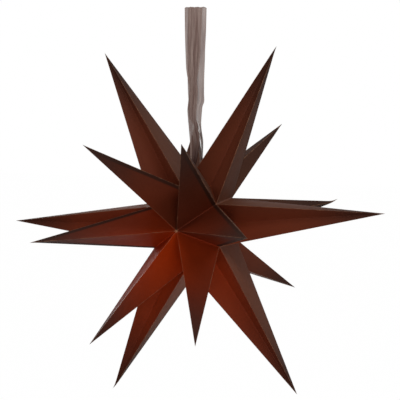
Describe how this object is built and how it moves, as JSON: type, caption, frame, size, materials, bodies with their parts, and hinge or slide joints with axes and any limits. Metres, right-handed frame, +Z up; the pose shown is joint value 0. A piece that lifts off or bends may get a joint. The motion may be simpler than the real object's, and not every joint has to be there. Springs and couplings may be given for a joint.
{
  "type": "paper star",
  "caption": "Large hanging star folded from rust-brown card, with slanted front and back spikes round a ring of longer ones, on a sheer ribbon loop.",
  "frame": {"origin": "inner top of the ribbon's loop, where it hangs over its hook, plumb above the star's centre", "axes": "+Z up; the star's axis, through its two poles, runs along Y, with the front pole towards -Y; +X to the right seen from the front"},
  "size_m": [0.5983, 0.479, 0.5993],
  "materials": {
    "card": "matt rust-brown card with a faint satin sheen, paler along its folds",
    "ribbon": "sheer grey-brown organza"
  },
  "bodies": {
    "root": {"folded_star": "card", "hanging_ribbon": "ribbon"}
  },
  "joints": []
}
